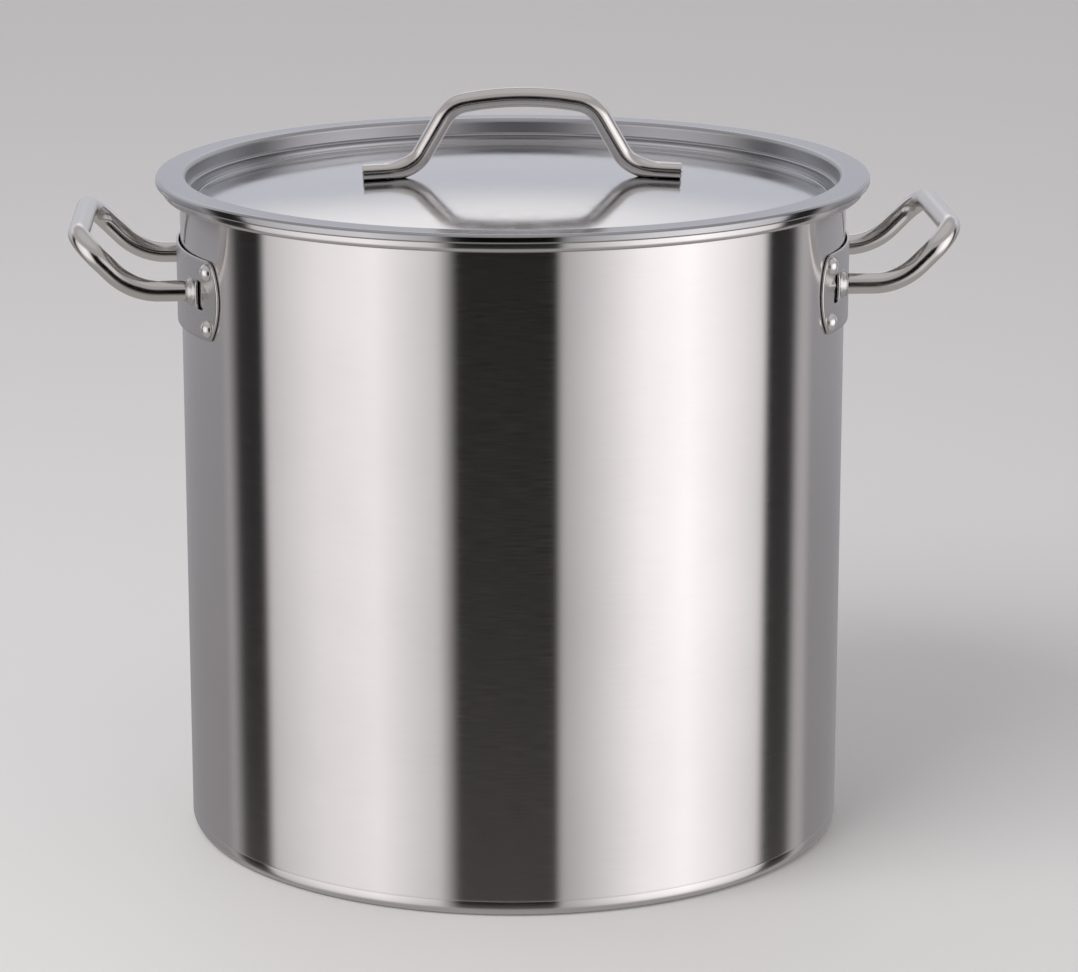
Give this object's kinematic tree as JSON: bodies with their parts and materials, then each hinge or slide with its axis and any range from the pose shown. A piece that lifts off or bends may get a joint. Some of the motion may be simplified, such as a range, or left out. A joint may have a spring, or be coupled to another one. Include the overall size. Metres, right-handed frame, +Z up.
{
  "type": "stock pot",
  "caption": "Deep stainless-steel stock pot with a rolled rim, capped heat-spreading base, riveted tube loop handles and a lift-off recessed lid with a bent tube grip.",
  "frame": {"origin": "centre of the pot's underside, on the surface it stands on", "axes": "+Z up along the pot's axis; +X through the right side handle; -Y is the side that faces the viewer"},
  "size_m": [0.5314, 0.4304, 0.454],
  "materials": {
    "polished_steel": "polished stainless sheet with a faint upright grain",
    "base_aluminium": "plain as-pressed",
    "satin_steel": "satin pressed stainless",
    "handle_steel": "polished bent tube",
    "lid_steel": "polished stainless sheet",
    "rivet_steel": "bright drawn",
    "weld_steel": "dull weld"
  },
  "bodies": {
    "pot": {"pot_shell": "polished_steel", "base_heat_disc": "base_aluminium", "base_cap": "polished_steel", "left_handle_plate": "satin_steel", "right_handle_plate": "satin_steel", "left_handle_tube": "handle_steel", "right_handle_tube": "handle_steel", "left_weld_front": "weld_steel", "left_weld_rear": "weld_steel", "right_weld_front": "weld_steel", "right_weld_rear": "weld_steel", "left_rivet_front_upper": "rivet_steel", "left_rivet_front_lower": "rivet_steel", "left_rivet_rear_upper": "rivet_steel", "left_rivet_rear_lower": "rivet_steel", "right_rivet_front_upper": "rivet_steel", "right_rivet_front_lower": "rivet_steel", "right_rivet_rear_upper": "rivet_steel", "right_rivet_rear_lower": "rivet_steel"},
    "lid": {"lid_shell": "lid_steel", "lid_handle": "handle_steel", "lid_weld_left": "weld_steel", "lid_weld_right": "weld_steel"}
  },
  "joints": [
    {"name": "lid_lift", "type": "slide", "parent": "pot", "child": "lid", "axis": [0, 0, 1], "range_m": [0, 0.14]}
  ]
}
